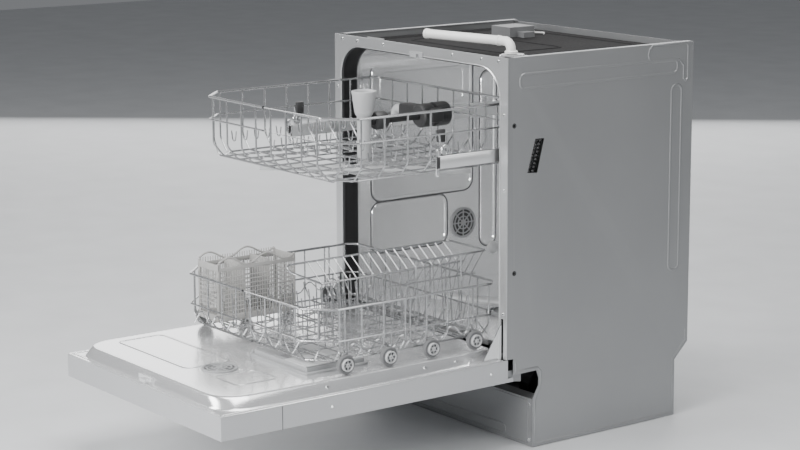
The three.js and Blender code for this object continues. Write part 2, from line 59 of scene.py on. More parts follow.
# ---------------------------------------------------------------- camera, light and floor
def place_camera():
    turn, tip, roll = math.radians(53.406), math.radians(11.124), math.radians(-0.226)
    ahead = Vector((-math.sin(turn) * math.cos(tip), math.cos(turn) * math.cos(tip), -math.sin(tip)))
    right = Vector((math.cos(turn), math.sin(turn), 0))
    up = right.cross(ahead)
    right, up = right * math.cos(roll) + up * math.sin(roll), up * math.cos(roll) - right * math.sin(roll)
    camera = bpy.data.objects.new("camera", bpy.data.cameras.new("camera"))
    camera.data.lens = 98.42
    camera.data.sensor_width = 36
    camera.data.clip_end = 100
    camera.matrix_world = Matrix((
        (right.x, up.x, -ahead.x, 3.634), (right.y, up.y, -ahead.y, FRONT - 2.744),
        (right.z, up.z, -ahead.z, 1.328), (0, 0, 0, 1)))
    bpy.context.scene.collection.objects.link(camera)
    bpy.context.scene.camera = camera


def soft_box(name, place, target, size, power):
    lamp = bpy.data.lights.new(name, "AREA")
    lamp.shape = "RECTANGLE"
    lamp.size, lamp.size_y = size
    lamp.energy = power
    holder = bpy.data.objects.new(name, lamp)
    holder.location = place
    holder.rotation_mode = "QUATERNION"
    holder.rotation_quaternion = (Vector(target) - Vector(place)).to_track_quat("-Z", "Y")
    holder.visible_camera = False
    bpy.context.scene.collection.objects.link(holder)


def light_studio():
    world = bpy.data.worlds.new("studio")
    world.use_nodes = True
    world.node_tree.nodes["Background"].inputs["Color"].default_value = (0.62, 0.64, 0.67, 1)
    world.node_tree.nodes["Background"].inputs["Strength"].default_value = 0.3
    bpy.context.scene.world = world
    soft_box("front_light", (-1.6, -3.2, 2.6), (0, -0.1, 0.4), (2.2, 1.6), 120)
    soft_box("top_light", (0.2, 0.0, 3.2), (0, 0, 0.4), (2.2, 2.2), 110)
    soft_box("side_light", (3.4, 1.2, 1.9), (0.2, 0.2, 0.4), (1.4, 2.2), 40)
    soft_box("tub_light", (0.9, -2.6, 1.1), (0, 0.4, 0.5), (0.9, 0.9), 80)
    soft_box("back_light", (-3.4, 2.6, 1.3), (0, -0.2, 0.3), (4.2, 2.4), 90)


# ---------------------------------------------------------------- effects shared by several finishes
def shader_group(name, inputs, outputs):
    group = bpy.data.node_groups.new(name, "ShaderNodeTree")
    kinds = {"vector": "NodeSocketVector", "value": "NodeSocketFloat", "colour": "NodeSocketColor"}
    for label, kind, default in inputs:
        socket = group.interface.new_socket(label, in_out="INPUT", socket_type=kinds[kind])
        if default is not None:
            socket.default_value = default
    for label, kind in outputs:
        group.interface.new_socket(label, in_out="OUTPUT", socket_type=kinds[kind])
    return group, group.nodes.new("NodeGroupInput"), group.nodes.new("NodeGroupOutput")


def add(group, kind, **settings):
    node = group.nodes.new(kind)
    for key, value in settings.items():
        setattr(node, key, value)
    return node


def feed(tree, socket, value):
    """Gives an input the value of an output, or a plain value."""
    if isinstance(value, bpy.types.NodeSocket):
        tree.links.new(value, socket)
    else:
        socket.default_value = value


def reckon(tree, operation, *values):
    node = add(tree, "ShaderNodeMath", operation=operation)
    for socket, value in zip(node.inputs, values):
        feed(tree, socket, value)
    return node.outputs[0]


def noise(tree, **inputs):
    node = add(tree, "ShaderNodeTexNoise")
    for label, value in inputs.items():
        feed(tree, node.inputs[label], value)
    return node.outputs["Fac"]


def ranged(tree, value, low, high=1, to_low=0):
    """How far a value lies between low and high, given as to_low to 1."""
    node = add(tree, "ShaderNodeMapRange")
    for label, given in (("Value", value), ("From Min", low), ("From Max", high), ("To Min", to_low)):
        feed(tree, node.inputs[label], given)
    return node.outputs["Result"]


def mixed(tree, factor, first, second):
    node = add(tree, "ShaderNodeMix", data_type="RGBA")
    for socket, value in (("Factor", factor), (6, first), (7, second)):
        feed(tree, node.inputs[socket], value)
    return node.outputs[2]


def brushing_group():
    """Fine parallel scratches, drawn out along the direction in which Stretch is small."""
    group, given, out = shader_group(
        "brushing", [("Vector", "vector", None), ("Stretch", "vector", (1, 1, 1)), ("Contrast", "value", 0.1),
                     ("Roughness", "value", 0.3)], [("Height", "value"), ("Roughness", "value")])
    asked = given.outputs
    stretch = add(group, "ShaderNodeVectorMath", operation="MULTIPLY")
    feed(group, stretch.inputs[0], asked["Vector"])
    feed(group, stretch.inputs[1], asked["Stretch"])
    lines = noise(group, Vector=stretch.outputs[0], Scale=1, Detail=3)
    clouds = noise(group, Vector=asked["Vector"], Scale=7)
    centred = reckon(group, "SUBTRACT", reckon(group, "ADD", lines, clouds), 1)
    uneven = reckon(group, "MULTIPLY_ADD", centred, asked["Contrast"], asked["Roughness"])
    feed(group, out.inputs["Height"], lines)
    feed(group, out.inputs["Roughness"], uneven)
    return group


def mottle_group():
    """Slow changes of tone over a surface, with rubbed, lighter edges and a little dust on what faces up."""
    group, given, out = shader_group(
        "mottle", [("Vector", "vector", None), ("Colour", "colour", (0.5, 0.5, 0.5, 1)),
                   ("Worn Colour", "colour", (0.8, 0.8, 0.8, 1)), ("Patch Size", "value", 6),
                   ("Patches", "value", 0.1),
                   ("Wear", "value", 0.2), ("Dust", "value", 0.05)], [("Colour", "colour")])
    asked = given.outputs
    clouds = noise(group, Vector=asked["Vector"], Scale=asked["Patch Size"], Detail=5)
    shade = add(group, "ShaderNodeVectorMath", operation="SCALE")
    feed(group, shade.inputs[0], asked["Colour"])
    feed(group, shade.inputs["Scale"], ranged(group, clouds, 0.3, 0.7,
                                              reckon(group, "SUBTRACT", 1, asked["Patches"])))
    shape = add(group, "ShaderNodeNewGeometry")
    rubbed = reckon(group, "MULTIPLY", ranged(group, shape.outputs["Pointiness"], 0.52, 0.6), asked["Wear"])
    worn = mixed(group, rubbed, shade.outputs[0], asked["Worn Colour"])
    split = add(group, "ShaderNodeSeparateXYZ")
    feed(group, split.inputs[0], shape.outputs["Normal"])
    specks = noise(group, Vector=asked["Vector"], Scale=140)
    settled = reckon(group, "MULTIPLY", ranged(group, split.outputs["Z"], 0.6), specks)
    dusty = mixed(group, reckon(group, "MULTIPLY", settled, asked["Dust"]), worn, (0.62, 0.6, 0.57, 1))
    feed(group, out.inputs["Colour"], dusty)
    return group


BRUSHING = brushing_group()
MOTTLE = mottle_group()


def finish(name, colour, roughness, metallic, stretch=(300, 300, 300), contrast=0.08, bump=0.02, patches=0.08,
           wear=0.2, dust=0.04, coat=0.0, specular=0.5):
    """A material: brushed as far as stretch says, its tone uneven, its edges rubbed lighter."""
    material = bpy.data.materials.new(name)
    material.use_nodes = True
    nodes, link = material.node_tree.nodes, material.node_tree.links.new
    surface = nodes["Principled BSDF"]
    place = nodes.new("ShaderNodeTexCoord").outputs["Object"]
    brushed, tone = nodes.new("ShaderNodeGroup"), nodes.new("ShaderNodeGroup")
    brushed.node_tree, tone.node_tree = BRUSHING, MOTTLE
    relief = nodes.new("ShaderNodeBump")
    rubbed = [min(1, c * 1.35 + 0.05) for c in colour]
    for node, settings in (
            (surface, {"Metallic": metallic, "Coat Weight": coat, "Specular IOR Level": specular}),
            (brushed, {"Stretch": stretch, "Contrast": contrast, "Roughness": roughness}),
            (tone, {"Colour": (*colour, 1), "Worn Colour": (*rubbed, 1), "Patches": patches, "Wear": wear,
                    "Dust": dust}),
            (relief, {"Strength": bump, "Distance": MM})):
        for label, value in settings.items():
            node.inputs[label].default_value = value
    link(place, brushed.inputs["Vector"])
    link(place, tone.inputs["Vector"])
    link(tone.outputs["Colour"], surface.inputs["Base Color"])
    link(brushed.outputs["Roughness"], surface.inputs["Roughness"])
    link(brushed.outputs["Height"], relief.inputs["Height"])
    link(relief.outputs["Normal"], surface.inputs["Normal"])
    return material


SIDE_STEEL = finish("side_steel", (0.33, 0.335, 0.34), 0.42, 0.8, (18, 18, 400), 0.05, 0.01, patches=0.05,
                    dust=0.02)
FRAME_STEEL = finish("frame_steel", (0.72, 0.725, 0.73), 0.3, 0.85, (120, 120, 120), 0.03, 0.01, wear=0.1)
TUB_STEEL = finish("tub_steel", (0.86, 0.865, 0.87), 0.2, 0.75, (9, 9, 260), 0.04, 0.01, patches=0.04,
                   wear=0.05)
LINER_STEEL = finish("liner_steel", (0.88, 0.885, 0.89), 0.2, 0.75, (9, 260, 9), 0.03, 0.01, patches=0.04,
                     wear=0.05)
DOOR_PAINT = finish("door_aluminium_paint", (0.50, 0.505, 0.515), 0.5, 0.55, (8, 300, 300), 0.08, 0.03,
                    patches=0.05)
PLINTH_PAINT = finish("plinth_steel", (0.30, 0.305, 0.31), 0.5, 0.7, (20, 300, 300), 0.1, 0.03, dust=0.08)
WIRE_COAT = finish("coated_wire", (0.40, 0.405, 0.41), 0.24, 0.85, (200, 200, 200), 0.08, 0.02, wear=0.25,
                   coat=0.3)
BRIGHT_STEEL = finish("bright_steel", (0.82, 0.825, 0.83), 0.2, 1.0, (60, 300, 300), 0.08, 0.02)
GREY_PLASTIC = finish("grey_plastic", (0.26, 0.265, 0.27), 0.45, 0.0, (700, 700, 700), 0.1, 0.05, wear=0.35)
PALE_PLASTIC = finish("pale_plastic", (0.42, 0.425, 0.43), 0.42, 0.0, (700, 700, 700), 0.1, 0.04, wear=0.3)
# painted shade: a near-black finish for thin lines beside the pressed folds, standing in for the shade and
# dark reflection in each fold's step
FOLD_SHADE = finish("painted_fold_shade", (0.09, 0.09, 0.095), 0.45, 0.5, (200, 200, 200), 0.08, 0.02, wear=0.1)
TYRE = finish("wheel_tyre", (0.12, 0.122, 0.125), 0.5, 0.0, (500, 500, 500), 0.1, 0.05, wear=0.4)
WHITE_PLASTIC = finish("white_plastic", (0.82, 0.82, 0.8), 0.38, 0.0, (500, 500, 500), 0.08, 0.03, wear=0.1)
BLACK_PLASTIC = finish("black_plastic", (0.02, 0.02, 0.021), 0.45, 0.0, (400, 400, 400), 0.12, 0.06, wear=0.3,
                       dust=0.1)
RUBBER = finish("seal_rubber", (0.010, 0.010, 0.011), 0.62, 0.0, (300, 300, 300), 0.1, 0.05, wear=0.15,
                dust=0.06)
SOUND_MAT = finish("sound_mat", (0.010, 0.010, 0.011), 0.85, 0.0, (90, 90, 90), 0.2, 0.4, wear=0.03,
                   dust=0.04, specular=0.06)
BASKET_GREY = finish("basket_grey", (0.34, 0.335, 0.325), 0.42, 0.0, (700, 700, 700), 0.1, 0.04, wear=0.3)
IRON = finish("cast_iron", (0.09, 0.09, 0.095), 0.75, 0.4, (250, 250, 250), 0.15, 0.4)
FLOOR_PAINT = finish("studio_floor", (0.60, 0.61, 0.62), 0.6, 0.0, (40, 40, 40), 0.06, 0.01, wear=0, dust=0)


# ---------------------------------------------------------------- mesh making
def mesh_of(points, faces):
    mesh = bpy.data.meshes.new("shape")
    mesh.from_pydata([tuple(p) for p in points], [], faces)
    return mesh


def outward(mesh):
    shape = bmesh.new()
    shape.from_mesh(mesh)
    bmesh.ops.remove_doubles(shape, verts=shape.verts, dist=1e-6)
    bmesh.ops.recalc_face_normals(shape, faces=shape.faces)
    shape.to_mesh(mesh)
    shape.free()
    return mesh


def gathered(meshes):
    shape = bmesh.new()
    for mesh in meshes:
        shape.from_mesh(mesh)
    whole = bpy.data.meshes.new("whole")
    shape.to_mesh(whole)
    shape.free()
    return whole


def piece(name, mesh, body, material, stands_for=()):
    """An object that rides a body, and takes the place of the CAD nodes that it stands for."""
    mesh.name = name
    mesh.materials.clear()
    mesh.materials.append(material)
    for face in mesh.polygons:
        face.use_smooth = True
        face.material_index = 0
    mesh.set_sharp_from_angle(angle=math.radians(35))
    thing = bpy.data.objects.new(name, mesh)
    bpy.context.scene.collection.objects.link(thing)
    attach(thing, body)
    if stands_for:
        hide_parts(*stands_for)


def soften(thing, width, segments):
    bevel = thing.modifiers.new("rounded_edges", "BEVEL")
    bevel.width = width * MM
    bevel.segments = segments
    bevel.limit_method = "ANGLE"
    bevel.angle_limit = math.radians(40)
    bevel.use_clamp_overlap = True


def loft(rings, cap=True, closed=False):
    """A skin through rings of equally many points. The last ring joins the first where it is closed."""
    count = len(rings[0])
    points = [p for ring in rings for p in ring]
    faces = []
    for i in range(len(rings) if closed else len(rings) - 1):
        j = (i + 1) % len(rings)
        for k in range(count):
            m = (k + 1) % count
            faces.append((i * count + k, i * count + m, j * count + m, j * count + k))
    if cap and not closed:
        faces.append(tuple(reversed(range(count))))
        faces.append(tuple(range((len(rings) - 1) * count, len(rings) * count)))
    return outward(mesh_of(points, faces))


def rounded(x0, x1, y0, y1, radius, steps=8):
    """A flat outline with rounded corners, as pairs. radius is one value, or one for each corner."""
    radii = radius if isinstance(radius, (list, tuple)) else [radius] * 4
    outline = []
    for corner, (x, y, sx, sy) in enumerate([(x1, y0, -1, 1), (x1, y1, -1, -1), (x0, y1, 1, -1),
                                             (x0, y0, 1, 1)]):
        r = radii[corner]
        for step in range(steps + 1):
            angle = math.radians(-90 + 90 * corner + 90 * step / steps)
            outline.append((x + sx * r + r * math.cos(angle), y + sy * r + r * math.sin(angle)))
    return outline


def turned(profile, centre, axis, sides=32):
    """A closed outline of (radius, height) pairs turned about an axis through centre."""
    up = Vector(axis).normalized()
    side = up.orthogonal().normalized()
    other = up.cross(side)
    rings = []
    for i in range(sides):
        angle = 2 * math.pi * i / sides
        arm = side * math.cos(angle) + other * math.sin(angle)
        rings.append([Vector(centre) + (arm * max(r, 0.001) + up * h) * MM for r, h in profile])
    return loft(rings, closed=True)


def bar(x, y, z, edge=0.0):
    """A box between pairs of limits in millimetres, its edges rounded."""
    shape = bmesh.new()
    bmesh.ops.create_cube(shape, size=1)
    low, high = at(x[0], y[0], z[0]), at(x[1], y[1], z[1])
    for vertex in shape.verts:
        vertex.co = Vector(low[k] + (vertex.co[k] + 0.5) * (high[k] - low[k]) for k in range(3))
    if edge:
        bmesh.ops.bevel(shape, geom=shape.edges[:], offset=edge * MM, segments=2, affect="EDGES", profile=0.5)
    mesh = bpy.data.meshes.new("bar")
    shape.to_mesh(mesh)
    shape.free()
    return mesh


def bead(path, out, width, height):
    """A low pressed ridge along a closed path on a flat wall that faces out."""
    out = Vector(out)
    rings = []
    for i, point in enumerate(path):
        ahead = (path[(i + 1) % len(path)] - path[i - 1]).normalized()
        side = out.cross(ahead) * width * MM / 2
        rise = out * height * MM
        rings.append([point - side - rise * 0.3, point - side * 0.55 + rise * 0.8, point + rise,
                      point + side * 0.55 + rise * 0.8, point + side - rise * 0.3])
    return loft(rings, closed=True)


def wall_path(outline, axis, level):
    """An outline laid on a wall: axis x takes y and z, y takes x and z, z takes x and y."""
    if axis == "x":
        return [at(level, a, b) for a, b in outline]
    if axis == "y":
        return [at(a, level, b) for a, b in outline]
    return [at(a, b, level) for a, b in outline]


# ---------------------------------------------------------------- rules that repeat or follow a path
def growing_rule(name, sockets):
    tree = bpy.data.node_groups.new(name, "GeometryNodeTree")
    kinds = {"value": "NodeSocketFloat", "count": "NodeSocketInt", "vector": "NodeSocketVector",
             "material": "NodeSocketMaterial"}
    tree.interface.new_socket("Geometry", in_out="INPUT", socket_type="NodeSocketGeometry")
    for label, kind in sockets:
        tree.interface.new_socket(label, in_out="INPUT", socket_type=kinds[kind])
    tree.interface.new_socket("Geometry", in_out="OUTPUT", socket_type="NodeSocketGeometry")
    return tree, tree.nodes.new("NodeGroupInput"), tree.nodes.new("NodeGroupOutput")


def end_rule(tree, shape, given, out):
    real = add(tree, "GeometryNodeRealizeInstances")
    coat = add(tree, "GeometryNodeSetMaterial")
    tree.links.new(shape, real.inputs[0])
    tree.links.new(real.outputs[0], coat.inputs["Geometry"])
    tree.links.new(given.outputs["Finish"], coat.inputs["Material"])
    tree.links.new(coat.outputs[0], out.inputs[0])
    return tree


def bent_wire_rule():
    """Round wire along a path, with bent corners, repeated in a row."""
    tree, given, out = growing_rule("bent_wire", [("Radius", "value"), ("Bend", "value"), ("Sides", "count"),
                                                  ("Count", "count"), ("Step", "vector"),
                                                  ("Finish", "material")])
    link = tree.links.new
    path = add(tree, "GeometryNodeMeshToCurve")
    corner = add(tree, "GeometryNodeFilletCurve", mode="POLY")
    corner.inputs["Limit Radius"].default_value = True
    corner.inputs["Count"].default_value = 4
    section = add(tree, "GeometryNodeCurvePrimitiveCircle")
    swept = add(tree, "GeometryNodeCurveToMesh")
    swept.inputs["Fill Caps"].default_value = True
    row = add(tree, "GeometryNodeMeshLine")
    repeat = add(tree, "GeometryNodeInstanceOnPoints")
    link(given.outputs["Geometry"], path.inputs["Mesh"])
    link(path.outputs["Curve"], corner.inputs["Curve"])
    link(given.outputs["Bend"], corner.inputs["Radius"])
    link(given.outputs["Radius"], section.inputs["Radius"])
    link(given.outputs["Sides"], section.inputs["Resolution"])
    link(corner.outputs["Curve"], swept.inputs["Curve"])
    link(section.outputs["Curve"], swept.inputs["Profile Curve"])
    link(given.outputs["Count"], row.inputs["Count"])
    link(given.outputs["Step"], row.inputs["Offset"])
    link(row.outputs["Mesh"], repeat.inputs["Points"])
    link(swept.outputs["Mesh"], repeat.inputs["Instance"])
    return end_rule(tree, repeat.outputs[0], given, out)


def studs_rule():
    """A screw or rivet head at each point, standing on a wall that faces along Facing."""
    tree, given, out = growing_rule("studs", [("Radius", "value"), ("Height", "value"), ("Facing", "vector"),
                                              ("Finish", "material")])
    link = tree.links.new
    head = add(tree, "GeometryNodeMeshCone")
    head.inputs["Vertices"].default_value = 20
    link(reckon(tree, "MULTIPLY", given.outputs["Radius"], 0.72), head.inputs["Radius Top"])
    link(given.outputs["Radius"], head.inputs["Radius Bottom"])
    link(given.outputs["Height"], head.inputs["Depth"])
    facing = add(tree, "FunctionNodeAlignRotationToVector", axis="Z")
    link(given.outputs["Facing"], facing.inputs["Vector"])
    repeat = add(tree, "GeometryNodeInstanceOnPoints")
    link(given.outputs["Geometry"], repeat.inputs["Points"])
    link(head.outputs["Mesh"], repeat.inputs["Instance"])
    link(facing.outputs["Rotation"], repeat.inputs["Rotation"])
    return end_rule(tree, repeat.outputs[0], given, out)


def around_rule():
    """The given shape repeated evenly about an axis through the origin, along Z."""
    tree, given, out = growing_rule("around", [("Count", "count"), ("Finish", "material")])
    link = tree.links.new
    ring = add(tree, "GeometryNodeMeshLine")
    ring.inputs["Offset"].default_value = (0, 0, 0)
    link(given.outputs["Count"], ring.inputs["Count"])
    share = reckon(tree, "DIVIDE", add(tree, "GeometryNodeInputIndex").outputs[0], given.outputs["Count"])
    spin = add(tree, "ShaderNodeCombineXYZ")
    link(reckon(tree, "MULTIPLY", share, 2 * math.pi), spin.inputs["Z"])
    repeat = add(tree, "GeometryNodeInstanceOnPoints")
    link(ring.outputs["Mesh"], repeat.inputs["Points"])
    link(given.outputs["Geometry"], repeat.inputs["Instance"])
    link(spin.outputs[0], repeat.inputs["Rotation"])
    return end_rule(tree, repeat.outputs[0], given, out)


BENT_WIRE = bent_wire_rule()
STUDS = studs_rule()
AROUND = around_rule()


def grown(mesh, rule, **sizes):
    """The mesh that a rule makes from a mesh, its inputs set by identifier."""
    thing = bpy.data.objects.new("growing", mesh)
    bpy.context.scene.collection.objects.link(thing)
    growth = thing.modifiers.new("rule", "NODES")
    growth.node_group = rule
    sockets = {s.name: s.identifier for s in rule.interface.items_tree if s.in_out == "INPUT"}
    for label, value in sizes.items():
        growth[sockets[label.replace("_", " ")]] = value
    ready = thing.evaluated_get(bpy.context.evaluated_depsgraph_get())
    made = bpy.data.meshes.new_from_object(ready)
    thing.modifiers.clear()
    bpy.data.objects.remove(thing)
    return made


def path_mesh(points, closed):
    """Places in millimetres, each joined to the next, and the last to the first where the path is closed."""
    count = len(points)
    mesh = bpy.data.meshes.new("path")
    mesh.from_pydata([tuple(at(*p)) for p in points],
                     [(i, (i + 1) % count) for i in range(count if closed else count - 1)], [])
    return mesh


def wire(points, radius, bend=6, count=1, step=(0, 0, 0), closed=False, material=WIRE_COAT, sides=8):
    """Round wire, in millimetres, through places given from the cabinet's front."""
    return grown(path_mesh(points, closed), BENT_WIRE, Radius=radius * MM, Bend=bend * MM, Sides=sides,
                 Count=count, Step=tuple(s * MM for s in step), Finish=material)


def studs(places, facing, radius, height, material):
    cloud = bpy.data.meshes.new("places")
    cloud.from_pydata([tuple(at(*p)) for p in places], [], [])
    return grown(cloud, STUDS, Radius=radius * MM, Height=height * MM, Facing=facing, Finish=material)


def around(mesh, count, centre, turn, material):
    """A mesh drawn about the origin, repeated about Z, then turned and put in place."""
    made = grown(mesh, AROUND, Count=count, Finish=material)
    made.transform(Matrix.Translation(centre) @ turn)
    return made


def local_bar(x, y, z, edge=0.0):
    """A bar drawn about the origin instead of the cabinet's front."""
    mesh = bar(x, y, z, edge)
    mesh.transform(Matrix.Translation((0, -FRONT, 0)))
    return mesh


FACING_X = Matrix.Rotation(math.radians(90), 4, "Y")
nodes = frame["nodes"]


def limits(node):
    """A node's limits in millimetres, as pairs, with y counted from the front of the cabinet."""
    low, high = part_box(node)
    return (low.x / MM, high.x / MM), ((low.y - FRONT) / MM, (high.y - FRONT) / MM), (low.z / MM, high.z / MM)


def centre_of(node):
    low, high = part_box(node)
    return (low + high) / 2


def dress(node, material, edge=0.0, segments=2):
    """Gives a CAD node a finish and rounded edges."""
    thing = nodes[node]
    thing.data.materials.clear()
    thing.data.materials.append(material)
    if edge:
        soften(thing, edge, segments)


# ---------------------------------------------------------------- cabinet
def make_side(name, sign):
    """A side: its sheet, the ridges pressed in it, two screw holes and a slanted air vent."""
    side = [((34, 465), (751, 780), 12), ((449, 478), (325, 725), 13)]
    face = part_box(f"side_panel_{name}")[1 if sign > 0 else 0].x / MM
    out = (sign, 0, 0)
    ridges = [bead(wall_path(rounded(*y, *z, r), "x", face), out, 7, 1.4) for y, z, r in side]
    corner = [(392, 778), (470, 778), (483, 765), (483, 737), (489, 732), (495, 737), (495, 806), (489, 812),
              (392, 812), (384, 805), (381, 795), (384, 785)]
    ridges.append(bead(wall_path(corner, "x", face), out, 6, 1.3))
    foot = [(27, 190), (27, 170), (84, 170), (94, 160), (94, 130), (79, 103), (79, 8), (467, 8), (467, 128),
            (503, 165), (503, 190)]
    ridges.append(wire_ridge(foot, face, sign))
    piece(f"side_ridges_{name}", gathered(ridges), "cabinet", SIDE_STEEL)
    dress(f"side_panel_{name}", SIDE_STEEL, 0.6)
    holes = [turned([(3.0, -1), (5.2, -0.6), (5.2, 0.2), (3.0, 0.35)], at(face, y, z), out, 20)
             for y, z in ((19, 678), (21, 376))]
    piece(f"side_holes_{name}", gathered(holes), "cabinet", BLACK_PLASTIC)
    # painted shade: black studs stand for the air vent's holes, their black the shade inside each hole
    column = [(face - sign * 1.2, 57 + 2.4 * k + across, 582 + 7.6 * k) for k in range(9)
              for across in (0, 11)]
    piece(f"painted_vent_hole_shade_{name}", studs(column, out, 2.6, 1.6, BLACK_PLASTIC), "cabinet", BLACK_PLASTIC)


def opening(inset, foot, top):
    """The outline of the front opening, drawn in by inset."""
    corner = OPENING_CORNER - inset
    return rounded(inset - OPENING_HALF, OPENING_HALF - inset, foot, top - inset, [1, corner, corner, 1])


def make_front_frame():
    dress("front_frame", FRAME_STEEL, 0.5)
    screws = [(x, -0.2, z) for x in (-288, 288) for z in (292, 547, 700)]
    screws += [(x, -0.2, 806) for x in (-270, -215, -120, 120, 215, 270)]
    piece("frame_screws", studs(screws, (0, -1, 0), 3.6, 1.6, BRIGHT_STEEL), "cabinet", BRIGHT_STEEL)
    lip = [wall_path(opening(inset, 199, OPENING_TOP), "y", y)
           for inset, y in ((0, 0.2), (0.6, -0.8), (1.6, -1.2), (2.4, -0.4), (2.4, 1.2))]
    piece("frame_lip", loft(lip, cap=False), "cabinet", FRAME_STEEL)


def make_back():
    dress("back_panel", SIDE_STEEL)
    rear = limits("back_panel")[1][1]
    ribs = [bead(wall_path(rounded(-250, 250, 190 + 118 * k, 270 + 118 * k, 18), "y", rear), (0, 1, 0), 9,
                 1.5)
            for k in range(5)]
    piece("back_ribs", gathered(ribs), "cabinet", SIDE_STEEL)
    heads = [(x, rear, z) for x in (-284, 284) for z in (180, 335, 490, 645, 800)]
    heads += [(x, rear, z) for x in (-140, 0, 140) for z in (178, 802)]
    piece("back_screws", studs(heads, (0, 1, 0), 4, 1.5, BRIGHT_STEEL), "cabinet", BRIGHT_STEEL)


def make_plinth():
    dress("plinth_plate", PLINTH_PAINT, 0.4)
    face = limits("plinth_plate")[1][0]
    piece("plinth_ridge", gathered([
        bead(wall_path(rounded(-209, 209, 10, 30, 9.5), "y", face), (0, -1, 0), 6, 1.4),
        bead(wall_path(rounded(-281, 281, 6, 98, 3), "y", face), (0, -1, 0), 4, 1.2)]), "cabinet",
        PLINTH_PAINT)
    piece("plinth_screws", studs([(x, face - 0.3, z) for x in (-287, 287) for z in (14, 91)], (0, -1, 0), 4,
                                 1.8,
                                 BRIGHT_STEEL), "cabinet", BRIGHT_STEEL)


def make_underside():
    dress("base_tray", BLACK_PLASTIC, 1.5)
    dress("counterweight", IRON, 2)
    for name in ("foot_front_left", "foot_front_right", "foot_rear"):
        dress(name, BLACK_PLASTIC, 1)
    dress("circulation_pump", BLACK_PLASTIC, 1.5)
    dress("sump", GREY_PLASTIC, 1)
    dress("filter", GREY_PLASTIC, 0.6)


def make_hinges_and_rails():
    for name in ("left", "right"):
        dress(f"hinge_arm_{name}", BRIGHT_STEEL, 0.5)
        dress(f"hinge_bracket_{name}", PLINTH_PAINT, 0.5)
        dress(f"rail_fixed_{name}", FRAME_STEEL, 1.2)


def wire_ridge(points, face, sign):
    """A pressed line that stays open, along the foot of a side."""
    rings = []
    path = [at(face, y, z) for y, z in points]
    for i, point in enumerate(path):
        ahead = (path[min(i + 1, len(path) - 1)] - path[max(i - 1, 0)]).normalized()
        side = Vector((sign, 0, 0)).cross(ahead) * 4.2 * MM
        rise = Vector((sign, 0, 0)) * 1.4 * MM
        rings.append([point - side - rise * 0.4, point + rise, point + side - rise * 0.4])
    return loft(rings)


def make_roof():
    dress("top_sheet", SOUND_MAT, 0.8)
    middle = centre_of("duct_foot_plate")
    x, y, top = middle.x / MM, (middle.y - FRONT) / MM, limits("duct_foot_plate")[2][1]
    run = (220, 39, 0)
    route = [(-58, 70.3, 830), (160, 109, 830), (x, y, 827), (x, y, 806)]
    duct = [wire(route, 9.8, 18, material=WHITE_PLASTIC, sides=24),
            turned([(9.6, 0), (13.5, 0), (13.5, 5), (11, 6.5), (9.6, 6.5)], at(x, y, 806), (0, 0, 1)),
            turned([(9.2, -3), (10.8, -3), (10.8, 3), (9.2, 3)], at(142, 105.8, 830), run),
            turned([(7.0, -1.5), (10.8, -1.5), (10.8, 5), (9.4, 6)], at(-58, 70.3, 830), run)]
    piece("duct_tube", gathered(duct), "cabinet", WHITE_PLASTIC, ("steam_duct",))
    dress("duct_foot_plate", PALE_PLASTIC, 1)
    screws = [(x + 26 * math.cos(a), y + 26 * math.sin(a), top - 0.8) for a in (0.5, 2.59, 4.69)]
    piece("duct_foot_screws", studs(screws, (0, 0, 1), 3.5, 2, BRIGHT_STEEL), "cabinet", BRIGHT_STEEL)
    dress("worktop_bracket", FRAME_STEEL, 0.5)
    dress("roof_valve_box", TYRE, 2, 3)
    piece("roof_screws", studs([(-155, 30, 802.6), (-134, 50, 802.6)], (0, 0, 1), 4, 2, BRIGHT_STEEL),
          "cabinet",
          BRIGHT_STEEL)
    strip = [(-150 + 5 * k, 430 + 6 * math.sin(k * 0.9), 803) for k in range(12)]
    piece("roof_lead", wire(strip, 2.2, 3, material=WHITE_PLASTIC), "cabinet", WHITE_PLASTIC)
    seams = [bead(wall_path(rounded(-250, 250, 60, 455, 30), "z", 800), (0, 0, 1), 14, 2.0),
             bead(wall_path(rounded(-200, 120, 130, 300, 18), "z", 800), (0, 0, 1), 9, 1.6)]
    piece("roof_seams", gathered(seams), "cabinet", SOUND_MAT)
    dress("latch_striker", GREY_PLASTIC, 1)


# ---------------------------------------------------------------- tub
TUB_HALF = limits("tub_wrap")[0][1] - 1.5  # to the inner face of the tub's sides


def make_tub():
    dress("tub_wrap", TUB_STEEL, 0.4)
    dress("tub_back", TUB_STEEL, 0.3)
    dress("tub_floor", TUB_STEEL, 0.8)
    sealing = ((0.2, 2.2), (0.2, 39.5), (4.6, 39.5), (5.0, 30), (3.4, 22), (5.0, 16), (3.2, 9), (4.8, 4),
               (3.0, 2.0))
    rings = [wall_path(opening(inset, 208, OPENING_TOP - 0.2), "y", y) for inset, y in sealing]
    piece("seal_band", loft(rings, closed=True), "cabinet", RUBBER, ("door_gasket",))


